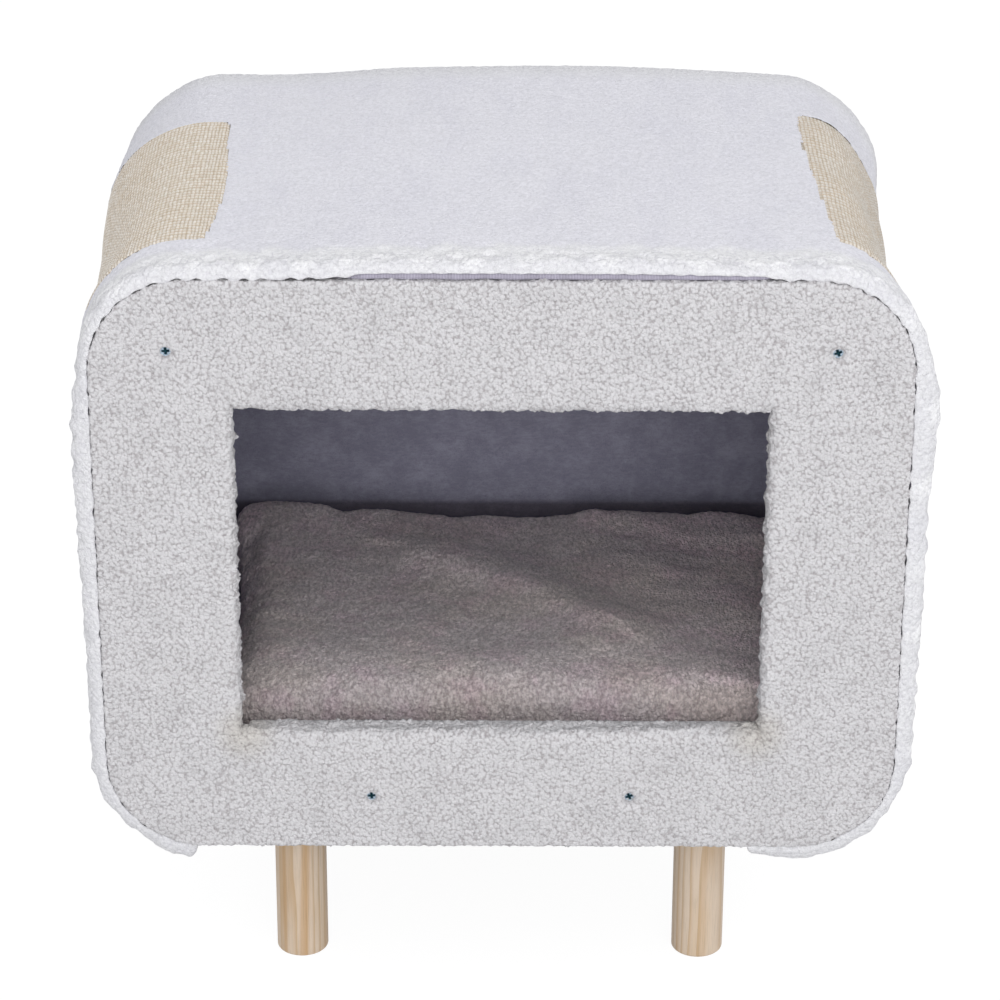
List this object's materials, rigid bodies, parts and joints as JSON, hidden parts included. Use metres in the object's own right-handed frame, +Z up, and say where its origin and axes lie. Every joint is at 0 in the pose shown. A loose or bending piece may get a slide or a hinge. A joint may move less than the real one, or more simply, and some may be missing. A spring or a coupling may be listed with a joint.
{
  "type": "pet house",
  "caption": "Pet house with a rounded-box body in curly pile and white fleece, a rectangular entrance, sisal corner patches, a loose plush mat and round wooden legs.",
  "frame": {"origin": "on the ground, below the middle of the body's box", "axes": "+Z up, -Y out of the entrance, +X to the right seen from the front"},
  "size_m": [0.5194, 0.3558, 0.5224],
  "materials": {
    "board": "raw fibreboard",
    "hardboard": "bent thin hardboard",
    "curly_pile": "light grey curly pile cloth",
    "white_fleece": "short white fleece, slightly cool",
    "knit_hem": "lavender grey fine knit",
    "grey_felt": "mottled blue grey felt",
    "dark_cloth": "thin dark non-woven cloth",
    "sisal": "cream woven sisal mat",
    "taupe_plush": "short taupe plush, soft",
    "wadding": "soft white wadding",
    "pine": "sanded pale pine",
    "zinc": "blue zinc plate"
  },
  "bodies": {
    "house": {"front_board": "board", "front_cover": "curly_pile", "front_lining": "grey_felt", "back_board": "board", "back_cover": "curly_pile", "back_lining": "grey_felt", "floor_board": "board", "floor_lining": "grey_felt", "under_cloth": "dark_cloth", "batten_left": "pine", "batten_right": "pine", "sleeve_sheet": "hardboard", "sleeve_lining": "grey_felt", "sleeve_hem_front": "knit_hem", "sleeve_hem_back": "knit_hem", "fleece_cover": "white_fleece", "sisal_patch_left": "sisal", "sisal_patch_right": "sisal", "leg_front_left": "pine", "leg_front_right": "pine", "leg_rear_left": "pine", "leg_rear_right": "pine", "leg_bolt_front_left": "zinc", "leg_bolt_front_right": "zinc", "leg_bolt_rear_left": "zinc", "leg_bolt_rear_right": "zinc", "leg_nut_front_left": "zinc", "leg_nut_front_right": "zinc", "leg_nut_rear_left": "zinc", "leg_nut_rear_right": "zinc", "front_screw_upper_left": "zinc", "front_screw_upper_right": "zinc", "front_screw_lower_left": "zinc", "front_screw_lower_right": "zinc", "back_screw_upper_left": "zinc", "back_screw_upper_right": "zinc", "back_screw_lower_left": "zinc", "back_screw_lower_right": "zinc"},
    "mat": {"mat_cover": "taupe_plush", "mat_wadding": "wadding", "mat_backing": "dark_cloth"}
  },
  "joints": [
    {"name": "mat_lift", "type": "slide", "parent": "house", "child": "mat", "axis": [0, 0, 1], "range_m": [0, 0.12]}
  ]
}
